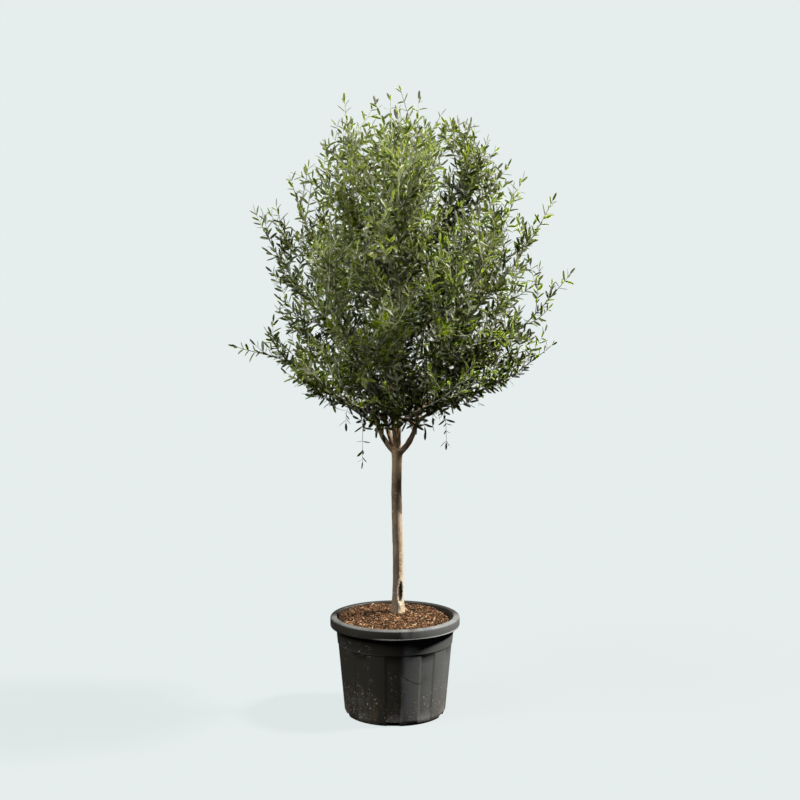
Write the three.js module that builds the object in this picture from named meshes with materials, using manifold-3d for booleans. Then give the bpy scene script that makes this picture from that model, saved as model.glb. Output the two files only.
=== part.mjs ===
// An olive tree grown as a half standard in a 50 litre nursery pot.
// Millimetres, +Z up, +X to the right, +Y to the back. The origin is the middle of the pot's underside.

import * as THREE from 'three';
import { mergeVertices } from 'three/addons/utils/BufferGeometryUtils.js';
import Module from 'manifold-3d';

const wasm = await Module();
wasm.setup();

// ---------------------------------------------------------------- driving sizes

const touchGap = 0.3; // left between pieces that touch
const goldenAngle = THREE.MathUtils.degToRad(137.5);
const up = new THREE.Vector3(0, 0, 1);
const sideways = new THREE.Vector3(1, 0, 0);

const pot = {
  height: 380,
  rimRadius: 250,
  footRadius: 187,
  groundRadius: 194, // what the wall's slope would give at the ground
  slope: 0.092, // radius gained for each millimetre of height
  wall: 4,
  floor: 6,
  lipHeight: 40,
  bandFoot: 277, // a smooth band runs from here up to the lip
  bandStep: 2.5,
  panels: 20,
  firstPanel: 8, // degrees round the pot
  panelSpots: [0.04, 0.5, 0.96], // where its corners stand across a panel, as shares of it
  fluteFoot: 18,
  fluteDepth: 2.6,
  notches: 5,
  firstNotch: 268, // degrees round the pot
  notchWidth: 44,
  notchHeight: 13,
  notchDepth: 30,
};

const soil = {
  edgeHeight: 358,
  moundHeight: 378, // where the trunk stands
  rings: [1, 0.84, 0.62, 0.4, 0.2], // shares of the way out; it is flat inside the last one
  sides: 20,
  roughness: 3.5,
  wallGap: 1,
};

const trunk = {
  foot: new THREE.Vector3(10, 48, soil.moundHeight + touchGap),
  fork: new THREE.Vector3(9, 12, 1022),
  sway: 3.4, // sideways bow, once each way
  footRadius: 22.5,
  forkRadius: 18.8,
  flare: 5,
  flareHeight: 34,
  lobes: 4, // roots that start to show in the flare
  lobeDepth: 0.5,
  swell: 3.5, // thickening under the fork
  swellHeight: 34,
  sides: 12,
  steps: 12,
  ringCrowding: 1.5,
  scar: { share: 0.131, bearing: 293, length: 84, width: 19, depth: 5 }, // where a branch was pruned
};

// The crown's outline: its half width falls away over and under its widest height by these powers.
const crown = {
  heart: new THREE.Vector3(0, 0, 1085),
  middle: 32, // how far towards +X its outline's upright middle line stands
  halfWidth: 570,
  widest: 1640,
  top: { height: 2405, power: 1.8, root: 0.7 },
  bottom: { height: 1150, power: 2.2, root: 0.42 },
};

const bough = {
  sides: 5,
  mainSteps: 5,
  sideSteps: 3,
  tipRadius: 6.5,
  forkDepth: 20, // how deep in the fork the main boughs begin
  turnHeight: 0.3, // where a main bough turns up, as a share of its rise
  clear: 5, // kept free round it by twigs and leaves
  beads: 13, // points on it from which that is measured
};

// Each bough feeds one mass of foliage. The tip of a mass is given by its bearing (degrees from +X
// towards +Y), its reach from the pot's upright middle line, and its height. A bough springs from
// the fork, or from another bough at a share of that one's length. It swings out by elbow before it
// rises, and ends where it enters its mass, at entry from the heart. base is its radius at its foot.
const limbs = {
  top_left: { tip: [190, 194, 2361], from: 'fork', entry: 190, elbow: 8, base: 12 },
  mid_left: { tip: [186, 537, 1945], from: 'fork', entry: 170, elbow: 82, base: 11 },
  mid_back_left: { tip: [125, 590, 1880], from: 'fork', entry: 165, elbow: 66, base: 10.8 },
  high_right: { tip: [345, 612, 1982], from: 'fork', entry: 160, elbow: 88, base: 12 },
  high_back: { tip: [82, 430, 2130], from: 'fork', entry: 175, elbow: 62, base: 10.8 },
  low_left: { tip: [181, 632, 1424], from: 'mid_left', at: 0.6, entry: 112, elbow: 12, base: 6.8 },
  high_left: { tip: [168, 427, 2108], from: 'mid_back_left', at: 0.68, entry: 215, elbow: 12, base: 6.6 },
  low_front_left: { tip: [236, 590, 1400], from: 'mid_left', at: 0.52, entry: 125, elbow: 12, base: 6.6 },
  mid_front_left: { tip: [240, 590, 1800], from: 'top_left', at: 0.6, entry: 170, elbow: 12, base: 7 },
  high_front: { tip: [272, 430, 2120], from: 'top_left', at: 0.7, entry: 215, elbow: 12, base: 6.6 },
  top_front: { tip: [265, 182, 2352], from: 'top_left', at: 0.8, entry: 250, elbow: 12, base: 6.2 },
  low_front_right: { tip: [298, 600, 1395], from: 'high_right', at: 0.6, entry: 130, elbow: 12, base: 6.6 },
  low_right: { tip: [351, 626, 1453], from: 'high_right', at: 0.7, entry: 140, elbow: 14, base: 7.2 },
  mid_right: { tip: [10, 709, 1716], from: 'high_right', at: 0.84, entry: 180, elbow: 12, base: 6.8 },
  mid_front_right: { tip: [308, 590, 1870], from: 'high_right', at: 0.74, entry: 185, elbow: 12, base: 6.6 },
  top_right: { tip: [9, 315, 2286], from: 'top_left', at: 0.55, entry: 225, elbow: 12, base: 6.2 },
  low_back_left: { tip: [120, 600, 1410], from: 'mid_back_left', at: 0.58, entry: 135, elbow: 12, base: 6.6 },
  low_back_right: { tip: [58, 600, 1430], from: 'high_back', at: 0.52, entry: 135, elbow: 12, base: 6.6 },
  mid_back_right: { tip: [30, 600, 2100], from: 'high_back', at: 0.66, entry: 200, elbow: 12, base: 6.8 },
  top_back: { tip: [52, 152, 2392], from: 'top_left', at: 0.66, entry: 250, elbow: 12, base: 6.2 },
};

// A stem carries a mass on from its bough's tip. pull is how far each end's direction is felt.
const stem = {
  tipRadius: 3.2,
  sides: 3,
  steps: 6,
  pull: 0.32,
  straightening: 0.6, // how far it turns from its bough's direction to its mass's, at its foot
  upturn: 0.2, // how far its tip turns up
  ownUpturn: { low_left: -0.25 }, // or droops, in a mass where it differs
  leafReach: 0.9, // how much of a leaf stands out beyond its tip
  bareShare: 0.05,
  leafSpacing: 110,
  leafSize: 1,
  leafSeed: 900,
};

// Shoots stand round a stem. These solids carry every second one of the whole tree's.
const shoot = {
  spacing: 54,
  stride: 2,
  length: 340, // at the foot of a stem
  tipShare: 0.4, // of that, at its tip
  footRadius: 2.16,
  tipRadius: 1.26,
  sides: 3,
  steps: 2,
  lean: [36, 62], // degrees away from the stem
  lift: 0.3, // how far its end turns up, as a share of its length
  cuts: [1, 0.8, 0.64, 0.5, 0.38], // the lengths that it may be cut back to, to fit
  checkShares: [0.35, 0.7, 1], // where on it the fit is looked at
  turns: [0, 2.1, -2.1], // the angles round the stem that it may be turned by, to fit
  bareShare: 0.25,
  leafSpacing: 80,
  leafSize: 1,
  leafSeed: 500,
};

// Two thin shoots that hang from under the crown, given by bearing, how far out and how far down.
const hangingShoots = {
  low_left: { at: 0.04, bearing: 258, out: 26, fall: 172 }, // at is a share of the stem
  low_right: { at: 0.12, bearing: 0, out: 22, fall: 136 },
  radius: 1.8,
  bareShare: 0.2,
  leafSpacing: 44,
  leafSize: 0.5,
  leafSeed: 800,
};

// A leaf here stands for several of the tree's, so it is larger than life.
const leaf = {
  length: 155,
  width: 44,
  thickness: 2.4,
  widest: 0.44,
  lean: [32, 54], // degrees away from the twig
  tipShare: 0.985, // where the last leaf of a twig stands
  tipLean: 6,
  tipSize: 0.95,
  cuts: [1, 0.75, 0.55],
  clear: 2.5, // kept from a neighbour's space
  overhang: 50, // how far its tip may stand out of the crown's outline
  apart: 51, // kept from the other leaves of its mass
  beadShares: [0.4, 0.7, 1], // where on a leaf that is looked at
};

// ---------------------------------------------------------------- helpers

// The same seed always gives the same run of numbers.
function seededDraw(seed) {
  const modulus = 2147483647;
  let state = (seed * 7919 + 104729) % modulus;
  return (low, high) => {
    state = (state * 16807) % modulus;
    return low + ((high - low) * state) / modulus;
  };
}

function onBearing(degrees, radius, height) {
  const angle = THREE.MathUtils.degToRad(degrees);
  return new THREE.Vector3(radius * Math.cos(angle), radius * Math.sin(angle), height);
}

// A direction that leans away from a line's own, at an angle round it.
function leaningFrom(tangent, lean, around) {
  const angle = THREE.MathUtils.degToRad(lean);
  const reference = Math.abs(tangent.z) > 0.9 ? sideways : up;
  const side = new THREE.Vector3().crossVectors(tangent, reference).normalize();
  side.applyAxisAngle(tangent, around);
  return tangent.clone().multiplyScalar(Math.cos(angle)).addScaledVector(side, Math.sin(angle));
}

function solidOf(geometry) {
  const bare = geometry.clone();
  for (const name of Object.keys(bare.attributes)) {
    if (name !== 'position') bare.deleteAttribute(name);
  }
  const merged = mergeVertices(bare, 1e-3);
  const mesh = new wasm.Mesh({
    numProp: 3,
    vertProperties: new Float32Array(merged.attributes.position.array),
    triVerts: new Uint32Array(merged.index.array),
  });
  return new wasm.Manifold(mesh);
}

// The largest piece of a solid, as geometry: a cut can leave a loose scrap behind.
function geometryOf(solid) {
  const largest = solid.decompose().sort((a, b) => b.volume() - a.volume())[0];
  const mesh = largest.getMesh();
  const geometry = new THREE.BufferGeometry();
  geometry.setAttribute('position', new THREE.BufferAttribute(new Float32Array(mesh.vertProperties), 3));
  geometry.setIndex(new THREE.BufferAttribute(new Uint32Array(mesh.triVerts), 1));
  geometry.computeVertexNormals();
  return geometry;
}

function colouredMesh(name, geometry, colour, roughness) {
  const material = new THREE.MeshStandardMaterial({ color: colour, roughness, metalness: 0 });
  const mesh = new THREE.Mesh(geometry, material);
  mesh.name = name;
  return mesh;
}

// A tapering limb: a cylinder bent along a curve, with straight runs between its rings.
class Limb {
  constructor(curve, radiusAt, sides, steps) {
    Object.assign(this, { curve, radiusAt, sides, steps });
    this.rings = curve.getPoints(steps);
    this.length = curve.getLength();
  }

  // The middle of the limb at a share of its length, on the run between two rings.
  pointOn(t) {
    const ring = Math.min(Math.floor(t * this.steps), this.steps - 1);
    return this.rings[ring].clone().lerp(this.rings[ring + 1], t * this.steps - ring);
  }

  solid(extra = 0) {
    const geometry = new THREE.CylinderGeometry(1, 1, 1, this.sides, this.steps);
    const { normals, binormals } = this.curve.computeFrenetFrames(this.steps, false);
    const position = geometry.attributes.position;
    for (let i = 0; i < position.count; i++) {
      const ring = Math.round((position.getY(i) + 0.5) * this.steps);
      const radius = this.radiusAt(ring / this.steps) + extra;
      const point = this.rings[ring].clone();
      point.addScaledVector(normals[ring], position.getZ(i) * radius);
      point.addScaledVector(binormals[ring], position.getX(i) * radius);
      position.setXYZ(i, point.x, point.y, point.z);
    }
    return solidOf(geometry);
  }
}

// ---------------------------------------------------------------- pot and soil

const wallRadius = (height) => pot.groundRadius + pot.slope * height;

// A turned shell with a rolled lip. Its wall is drawn in at every second panel.
function potGeometry() {
  const { height, rimRadius, lipHeight, bandFoot, bandStep, wall, fluteFoot } = pot;
  const lipFoot = height - lipHeight;
  const innerTop = wallRadius(height) - wall;
  const outline = [
    { radius: 0, z: 0 },
    { radius: pot.footRadius, z: 0 },
    { radius: wallRadius(fluteFoot), z: fluteFoot },
    { radius: wallRadius(fluteFoot + 5), z: fluteFoot + 5, fluted: true },
    { radius: wallRadius(bandFoot - 9), z: bandFoot - 9, fluted: true },
    { radius: wallRadius(bandFoot - 4), z: bandFoot - 4 },
    { radius: wallRadius(bandFoot) + bandStep, z: bandFoot },
    { radius: wallRadius(lipFoot) + bandStep, z: lipFoot },
    { radius: rimRadius - 2, z: lipFoot + 2 },
    { radius: rimRadius, z: lipFoot + 9 },
    { radius: rimRadius, z: height - 9 },
    { radius: rimRadius - 8, z: height },
    { radius: innerTop + 5, z: height },
    { radius: innerTop, z: height - 5 },
    { radius: wallRadius(pot.floor) - wall, z: pot.floor },
    { radius: 0, z: pot.floor },
  ];
  const perPanel = pot.panelSpots.length;
  const columns = perPanel * pot.panels;
  const firstAngle = THREE.MathUtils.degToRad(pot.firstPanel);
  const panelAngle = (2 * Math.PI) / pot.panels;
  const profile = outline.map(({ radius, z }) => new THREE.Vector2(radius, z));
  const shell = new THREE.LatheGeometry(profile, columns);
  const position = shell.attributes.position;
  for (let i = 0; i < position.count; i++) {
    const { radius, z, fluted } = outline[i % outline.length];
    const column = Math.floor(i / outline.length) % columns;
    const panel = Math.floor(column / perPanel);
    const angle = firstAngle + (panel + pot.panelSpots[column % perPanel]) * panelAngle;
    const standing = fluted && panel % 2 === 0 ? radius - pot.fluteDepth : radius;
    position.setXYZ(i, standing * Math.cos(angle), standing * Math.sin(angle), z);
  }
  const bearings = Array.from({ length: pot.notches }, (_, i) => pot.firstNotch + (i * 360) / pot.notches);
  return geometryOf(wasm.Manifold.difference([solidOf(shell), ...bearings.map(notchSolid)]));
}

// A drain notch through the corner of wall and floor.
function notchSolid(bearing) {
  const block = new THREE.BoxGeometry(pot.notchDepth, pot.notchWidth, 2 * pot.notchHeight);
  block.rotateZ(THREE.MathUtils.degToRad(bearing));
  const middle = onBearing(bearing, pot.groundRadius - pot.notchDepth / 4, 0);
  block.translate(middle.x, middle.y, middle.z);
  return solidOf(block);
}

// The soil fills the pot. Its top is uneven, and heaped up where the trunk stands.
function soilGeometry() {
  const innerRadius = (height) => wallRadius(height) - pot.wall - soil.wallGap;
  const foot = pot.floor + touchGap;
  const edge = innerRadius(soil.edgeHeight);
  const outline = [
    { share: 0, radius: 0, z: foot },
    { share: 1, radius: innerRadius(foot), z: foot },
    ...soil.rings.map((share) => ({ share, radius: edge * share, z: soil.edgeHeight, top: true })),
    { share: 0, radius: 0, z: soil.edgeHeight, top: true },
  ];
  const flatShare = soil.rings.at(-1);
  const moundRise = soil.moundHeight - soil.edgeHeight;
  const profile = outline.map(({ radius, z }) => new THREE.Vector2(radius, z));
  const geometry = new THREE.LatheGeometry(profile, soil.sides);
  const position = geometry.attributes.position;
  for (let i = 0; i < position.count; i++) {
    const { share, radius, z, top } = outline[i % outline.length];
    const column = Math.floor(i / outline.length) % soil.sides;
    const angle = THREE.MathUtils.degToRad(pot.firstPanel) + (column * 2 * Math.PI) / soil.sides;
    const heap = top ? moundRise * THREE.MathUtils.smoothstep(1 - share, 0, 1 - flatShare) : 0;
    const draw = seededDraw(column * 10 + Math.round(share * 10));
    const bump = top && share < 1 && share > flatShare ? draw(-soil.roughness, soil.roughness) : 0;
    const centre = top ? 1 - share : 0;
    position.setXYZ(
      i,
      radius * Math.cos(angle) + trunk.foot.x * centre,
      radius * Math.sin(angle) + trunk.foot.y * centre,
      z + heap + bump,
    );
  }
  return geometryOf(solidOf(geometry));
}

// ---------------------------------------------------------------- trunk and boughs

const trunkHeight = trunk.fork.z - trunk.foot.z;
const forkHeart = trunk.fork.clone().addScaledVector(up, -bough.forkDepth);

// The middle of the trunk at a share of its height: it leans a little and bows once each way.
function trunkMiddle(t) {
  const middle = new THREE.Vector3().lerpVectors(trunk.foot, trunk.fork, t);
  middle.x += trunk.sway * Math.sin(2 * Math.PI * t);
  return middle;
}

function trunkRadius(t, angle) {
  const height = t * trunkHeight;
  const taper = THREE.MathUtils.lerp(trunk.footRadius, trunk.forkRadius, t);
  const flare = trunk.flare * Math.exp(-height / trunk.flareHeight);
  const swell = trunk.swell * Math.exp(-(((trunkHeight - height) / trunk.swellHeight) ** 2));
  return taper + flare * (1 + trunk.lobeDepth * Math.cos(trunk.lobes * angle)) + swell;
}

// A cylinder with level rings that stand closer at the foot, so that it has a flat cut and a flare.
function trunkSolid(extra = 0) {
  const geometry = new THREE.CylinderGeometry(1, 1, 1, trunk.sides, trunk.steps);
  geometry.rotateX(Math.PI / 2);
  const position = geometry.attributes.position;
  for (let i = 0; i < position.count; i++) {
    const t = (position.getZ(i) + 0.5) ** trunk.ringCrowding;
    const angle = Math.atan2(position.getY(i), position.getX(i));
    const radius = trunkRadius(t, angle) + extra;
    const { x, y, z } = trunkMiddle(t);
    position.setXYZ(i, x + position.getX(i) * radius, y + position.getY(i) * radius, z);
  }
  return solidOf(geometry).subtract(scarSolid());
}

// The hollow left where a branch was once pruned away.
function scarSolid() {
  const { share, bearing, length, width, depth } = trunk.scar;
  const hollow = new THREE.IcosahedronGeometry(1, 1);
  hollow.scale(depth, width / 2, length / 2);
  hollow.rotateZ(THREE.MathUtils.degToRad(bearing));
  const middle = trunkMiddle(share).add(onBearing(bearing, trunkRadius(share, 0), 0));
  hollow.translate(middle.x, middle.y, middle.z);
  return solidOf(hollow);
}

// Works out each bough's line: out of the fork or its parent, round its elbow, and up to its mass.
function layOutBoughs() {
  const laid = new Map();
  for (const [name, { tip, from, at, entry, elbow, base }] of Object.entries(limbs)) {
    const [bearing] = tip;
    const tipPoint = onBearing(...tip);
    const axis = tipPoint.clone().sub(crown.heart).normalize();
    const parent = laid.get(from);
    const start = parent ? parent.bough.pointOn(at) : forkHeart.clone();
    const end = crown.heart.clone().addScaledVector(axis, entry);
    const turn = start.clone().add(onBearing(bearing, elbow, 0));
    turn.z = THREE.MathUtils.lerp(start.z, end.z, bough.turnHeight);
    const curve = new THREE.QuadraticBezierCurve3(start, turn, end);
    const radiusAt = (t) => THREE.MathUtils.lerp(base, bough.tipRadius, t);
    const limb = new Limb(curve, radiusAt, bough.sides, parent ? bough.sideSteps : bough.mainSteps);
    laid.set(name, { name, tip: tipPoint, axis, bough: limb });
  }
  return laid;
}

const masses = layOutBoughs();

// Each bough is cut clear of the trunk and of the boughs before it.
function boughGeometries() {
  const cutters = [trunkSolid(touchGap)];
  const made = new Map();
  for (const mass of masses.values()) {
    made.set(mass.name, geometryOf(wasm.Manifold.difference([mass.bough.solid(), ...cutters])));
    cutters.push(mass.bough.solid(touchGap));
  }
  return made;
}

// ---------------------------------------------------------------- foliage

const outwardness = (point) => Math.hypot(point.x - crown.middle, point.y);

// The half width of the crown's outline at a height.
function crownRadius(height) {
  const { top, bottom, widest, halfWidth } = crown;
  const side = height > widest ? top : bottom;
  const share = (height - widest) / (side.height - widest);
  return share < 1 ? halfWidth * (1 - share ** side.power) ** side.root : 0;
}

// A mass's space is the cone of directions from the heart that lie nearest to its own axis.
function inSpace(mass, point) {
  const fromHeart = point.clone().sub(crown.heart);
  for (const other of masses.values()) {
    const across = mass.axis.clone().sub(other.axis);
    if (other !== mass && fromHeart.dot(across) < leaf.clear * across.length()) return false;
  }
  return true;
}

const beadShares = Array.from({ length: bough.beads }, (_, i) => i / (bough.beads - 1));
const boughBeads = [...masses.values()].flatMap(({ bough: limb }) =>
  beadShares.map((t) => ({ centre: limb.pointOn(t), radius: limb.radiusAt(t) + bough.clear })),
);

function touchesBough(point) {
  return boughBeads.some(({ centre, radius }) => centre.distanceTo(point) < radius);
}

// A stem goes on from its bough's tip, and its last leaf reaches the tip of its mass.
function stemOf(mass) {
  const tangent = mass.bough.curve.getTangent(1);
  const heading = tangent.clone().lerp(mass.axis, stem.straightening).normalize();
  const start = mass.bough.pointOn(1).addScaledVector(tangent, touchGap);
  const span = start.distanceTo(mass.tip);
  const upturn = stem.ownUpturn[mass.name] ?? stem.upturn;
  const ending = mass.tip.clone().sub(start).normalize().addScaledVector(up, upturn).normalize();
  const end = mass.tip.clone().addScaledVector(ending, -stem.leafReach * leaf.length);
  const leaving = start.clone().addScaledVector(heading, span * stem.pull);
  const arriving = end.clone().addScaledVector(ending, -span * stem.pull);
  const curve = new THREE.CubicBezierCurve3(start, leaving, arriving, end);
  const radiusAt = (t) => THREE.MathUtils.lerp(bough.tipRadius, stem.tipRadius, t);
  return new Limb(curve, radiusAt, stem.sides, stem.steps);
}

function shootFrom(start, direction, length) {
  const middle = start.clone().addScaledVector(direction, length / 2);
  const end = start.clone().addScaledVector(direction, length).addScaledVector(up, length * shoot.lift);
  const curve = new THREE.QuadraticBezierCurve3(start, middle, end);
  const radiusAt = (t) => THREE.MathUtils.lerp(shoot.footRadius, shoot.tipRadius, t);
  return new Limb(curve, radiusAt, shoot.sides, shoot.steps);
}

function hangingShootOf(massStem, { at, bearing, out, fall }) {
  const start = massStem.pointOn(at);
  const middle = start.clone().add(onBearing(bearing, out, 0));
  const end = start.clone().add(onBearing(bearing, out, -fall));
  const curve = new THREE.QuadraticBezierCurve3(start, middle, end);
  return new Limb(curve, () => hangingShoots.radius, shoot.sides, shoot.steps);
}

// Shoots stand round the stem by the golden angle, long at its foot and short at its tip.
function shootsOf(mass, massStem, firstSeed) {
  const count = Math.floor(massStem.length / shoot.spacing);
  const shoots = [];
  for (let i = 0; i < count; i += shoot.stride) {
    const draw = seededDraw(firstSeed + i);
    const t = (i + 0.5) / count;
    const tangent = massStem.curve.getTangent(t);
    const lean = draw(...shoot.lean);
    const around = i * goldenAngle + draw(-0.4, 0.4);
    const length = shoot.length * THREE.MathUtils.lerp(1, shoot.tipShare, t) * draw(0.75, 1.15);
    const edge = draw(0.86, 1);
    const start = massStem.pointOn(t);
    const fitting = shoot.cuts
      .flatMap((cut) => shoot.turns.map((turn) => ({ cut, turn })))
      .map(({ cut, turn }) => shootFrom(start, leaningFrom(tangent, lean, around + turn), length * cut))
      .find((limb) => shootFits(mass, limb, edge));
    if (fitting) shoots.push({ limb: fitting, seed: firstSeed + i });
  }
  return shoots;
}

function shootFits(mass, limb, edge) {
  return shoot.checkShares.every((t) => {
    const point = limb.pointOn(t);
    return outwardness(point) < crownRadius(point.z) * edge && inSpace(mass, point) && !touchesBough(point);
  });
}

// A pointed blade of eight faces that leans away from its twig, with its foot in the twig's middle.
function bladeOf(foot, direction, tangent, size) {
  const blade = new THREE.OctahedronGeometry(1);
  const position = blade.attributes.position;
  for (let i = 0; i < position.count; i++) {
    const along = position.getX(i);
    const share = along === 0 ? leaf.widest : (along + 1) / 2;
    const across = (position.getY(i) * leaf.width) / 2;
    position.setXYZ(i, share * leaf.length * size, across * size, (position.getZ(i) * leaf.thickness) / 2);
  }
  const side = new THREE.Vector3().crossVectors(tangent, direction).normalize();
  const face = new THREE.Vector3().crossVectors(direction, side);
  return blade.applyMatrix4(new THREE.Matrix4().makeBasis(direction, side, face).setPosition(foot));
}

// A leaf may stand out of the crown's outline by its overhang, and as far as its mass's tip where its
// foot is outside already.
function bladeFits(mass, blade, foot) {
  const position = blade.attributes.position;
  const point = new THREE.Vector3();
  const leader = outwardness(foot) > crownRadius(foot.z) ? outwardness(mass.tip) : 0;
  for (let i = 0; i < position.count; i++) {
    point.fromBufferAttribute(position, i);
    const edge = Math.max(crownRadius(point.z) + leaf.overhang, leader);
    if (outwardness(point) > edge || point.z > crown.top.height) return false;
    if (!inSpace(mass, point) || touchesBough(point)) return false;
  }
  return true;
}

// The leaves of one mass. A leaf is grown at the largest size at which it fits and has room.
class Leafage {
  constructor(mass) {
    this.mass = mass;
    this.blades = [];
    this.beads = [];
  }

  growLeaf(limb, t, lean, around, size) {
    const foot = limb.pointOn(t);
    const tangent = limb.curve.getTangent(t);
    const direction = leaningFrom(tangent, lean, around);
    for (const cut of leaf.cuts) {
      const length = leaf.length * size * cut;
      const beads = leaf.beadShares.map((share) => foot.clone().addScaledVector(direction, share * length));
      const crowded = beads.some((bead) => this.beads.some((other) => other.distanceTo(bead) < leaf.apart));
      const blade = bladeOf(foot, direction, tangent, size * cut);
      if (crowded || !bladeFits(this.mass, blade, foot)) continue;
      this.blades.push(blade);
      this.beads.push(...beads);
      return;
    }
  }

  // Leaves stand in opposite pairs, each pair turned a quarter from the last, with one at the very tip.
  growOn(limb, { bareShare, leafSpacing, leafSize, leafSeed }, seed) {
    const draw = seededDraw(seed + leafSeed);
    this.growLeaf(limb, leaf.tipShare, leaf.tipLean, 0, leaf.tipSize * leafSize);
    const pairs = Math.max(1, Math.round((limb.length * (1 - bareShare)) / leafSpacing));
    for (let pair = 0; pair < pairs; pair++) {
      const t = THREE.MathUtils.lerp(bareShare, 1, (pair + 0.5) / pairs);
      const turn = (pair * Math.PI) / 2 + draw(-0.5, 0.5);
      this.growLeaf(limb, t, draw(...leaf.lean), turn, draw(0.85, 1.1) * leafSize);
      this.growLeaf(limb, t, draw(...leaf.lean), turn + Math.PI, draw(0.85, 1.1) * leafSize);
    }
  }
}

// One mass: a stem, its shoots and their leaves, joined into one solid and cut clear of its bough.
function foliageGeometry(mass, index) {
  const firstSeed = index * 1000;
  const massStem = stemOf(mass);
  const shoots = shootsOf(mass, massStem, firstSeed);
  const leafage = new Leafage(mass);
  leafage.growOn(massStem, stem, firstSeed);
  shoots.forEach(({ limb, seed }) => leafage.growOn(limb, shoot, seed));
  const limbSolids = [massStem, ...shoots.map(({ limb }) => limb)].map((limb) => limb.solid());
  if (hangingShoots[mass.name]) {
    const hanging = hangingShootOf(massStem, hangingShoots[mass.name]);
    leafage.growOn(hanging, hangingShoots, firstSeed);
    limbSolids.push(hanging.solid());
  }
  const joined = wasm.Manifold.union([...limbSolids, ...leafage.blades.map(solidOf)]);
  const boughSolids = [...masses.values()].map((other) => other.bough.solid(touchGap));
  return geometryOf(wasm.Manifold.difference([joined, ...boughSolids]));
}

// ---------------------------------------------------------------- the whole plant

const colours = { pot: 0x2b2c2b, soil: 0x6b4630, bark: 0x7d6247, leaf: 0x55702f };

const oliveTree = new THREE.Group();
oliveTree.add(colouredMesh('pot', potGeometry(), colours.pot, 0.55));
oliveTree.add(colouredMesh('soil', soilGeometry(), colours.soil, 1));
oliveTree.add(colouredMesh('trunk', geometryOf(trunkSolid()), colours.bark, 0.9));
for (const [name, geometry] of boughGeometries()) {
  oliveTree.add(colouredMesh(`bough_${name}`, geometry, colours.bark, 0.9));
}
[...masses.values()].forEach((mass, index) => {
  oliveTree.add(colouredMesh(`foliage_${mass.name}`, foliageGeometry(mass, index + 1), colours.leaf, 0.6));
});

export default oliveTree;
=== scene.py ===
import math

import bmesh
import bpy
import numpy as np
from mathutils import Matrix, Vector, noise


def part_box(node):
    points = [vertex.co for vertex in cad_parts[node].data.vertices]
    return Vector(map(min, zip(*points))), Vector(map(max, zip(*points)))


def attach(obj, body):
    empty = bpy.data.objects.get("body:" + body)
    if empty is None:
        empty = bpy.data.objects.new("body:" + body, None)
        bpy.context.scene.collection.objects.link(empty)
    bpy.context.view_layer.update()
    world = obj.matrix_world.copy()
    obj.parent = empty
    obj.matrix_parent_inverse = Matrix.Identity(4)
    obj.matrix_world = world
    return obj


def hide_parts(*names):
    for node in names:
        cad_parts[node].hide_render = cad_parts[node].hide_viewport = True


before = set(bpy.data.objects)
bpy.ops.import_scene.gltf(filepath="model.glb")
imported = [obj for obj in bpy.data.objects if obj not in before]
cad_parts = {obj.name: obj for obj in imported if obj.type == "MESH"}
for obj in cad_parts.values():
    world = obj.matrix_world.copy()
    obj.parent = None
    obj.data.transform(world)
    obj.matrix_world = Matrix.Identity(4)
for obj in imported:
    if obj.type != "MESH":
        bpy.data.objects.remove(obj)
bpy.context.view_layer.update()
scene = bpy.context.scene

# An olive tree in a nursery pot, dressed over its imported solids. Everything is in metres, +Z up.

up = Vector((0, 0, 1))
sideways = Vector((1, 0, 0))
goldenAngle = math.radians(137.5)

# ---- camera

view = {
    "place": (0.0193, -5.0, 1.602),
    "pitch": 4.45,  # degrees down from level
    "lens": 59.1,
}


def makeCamera():
    camera = bpy.data.objects.new("camera", bpy.data.cameras.new("camera"))
    camera.data.lens = view["lens"]
    camera.data.sensor_width = 36
    camera.location = view["place"]
    camera.rotation_euler = (math.radians(90 - view["pitch"]), 0, 0)
    scene.collection.objects.link(camera)
    scene.camera = camera


makeCamera()

# ---- numbers, directions and limbs


# The same seed always gives the same run of numbers.
def seededDraw(seed):
    modulus = 2147483647
    state = (seed * 7919 + 104729) % modulus

    def draw(low, high):
        nonlocal state
        state = state * 16807 % modulus
        return low + (high - low) * state / modulus

    return draw


def mix(low, high, share):
    return low + (high - low) * share


def smoothStep(value, low=0.0, high=1.0):
    share = min(max((value - low) / (high - low), 0.0), 1.0)
    return share * share * (3 - 2 * share)


def onBearing(degrees, radius, height):
    angle = math.radians(degrees)
    return Vector((radius * math.cos(angle), radius * math.sin(angle), height))


# A direction that leans away from a line's own, at an angle round it.
def leaningFrom(tangent, lean, around):
    angle = math.radians(lean)
    reference = sideways if abs(tangent.z) > 0.9 else up
    side = tangent.cross(reference).normalized()
    side.rotate(Matrix.Rotation(around, 3, tangent))
    return tangent * math.cos(angle) + side * math.sin(angle)


# A tapering limb along a Bezier curve of three or four points.
class Limb:
    def __init__(self, controls, footRadius, tipRadius, steps, taper=1.0):
        self.controls = controls
        self.radii = (footRadius, tipRadius)
        self.taper = taper  # below 1 it thins out early
        self.steps = steps
        line = [self.pointOn(i / 40) for i in range(41)]
        self.length = sum((b - a).length for a, b in zip(line, line[1:]))

    def pointOn(self, share):
        points = self.controls
        while len(points) > 1:
            points = [a.lerp(b, share) for a, b in zip(points, points[1:])]
        return points[0]

    def tangentOn(self, share):
        points = [b - a for a, b in zip(self.controls, self.controls[1:])]
        while len(points) > 1:
            points = [a.lerp(b, share) for a, b in zip(points, points[1:])]
        return points[0].normalized()

    def radiusOn(self, share):
        return mix(*self.radii, share**self.taper)


# ---- meshes


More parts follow.
